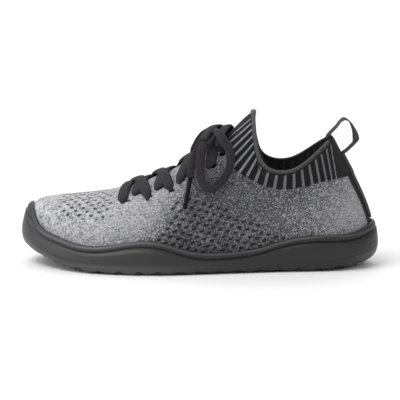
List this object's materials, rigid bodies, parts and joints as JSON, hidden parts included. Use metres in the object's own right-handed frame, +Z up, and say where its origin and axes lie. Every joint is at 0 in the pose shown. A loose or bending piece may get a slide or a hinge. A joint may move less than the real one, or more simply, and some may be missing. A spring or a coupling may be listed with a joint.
{
  "type": "barefoot_shoe",
  "caption": "Left barefoot shoe with a light grey sock-knit upper, black ribbed collar, dark lace tied in a bow, heel pull loop and charcoal rubber cup sole.",
  "frame": {"origin": "On the floor, in the middle of the shoe's length and breadth.", "axes": "+Z up. The toe points to -X and the heel to +X. The outer side of the foot faces -Y, the inner side +Y."},
  "size_m": [0.2721, 0.1039, 0.1185],
  "materials": {
    "sole_rubber": "satin",
    "knit": "matte",
    "insole_foam": "matte",
    "webbing": "matte",
    "lace": "matte",
    "aglet_plastic": "satin"
  },
  "bodies": {
    "root": {"outsole": "sole_rubber", "upper": "knit", "insole": "insole_foam", "pull_loop": "webbing", "lacing": "lace", "lace_knot": "lace", "lace_loop_near": "lace", "lace_loop_far": "lace", "lace_end_near": "lace", "lace_end_far": "lace", "aglet_near": "aglet_plastic", "aglet_far": "aglet_plastic"}
  },
  "joints": []
}
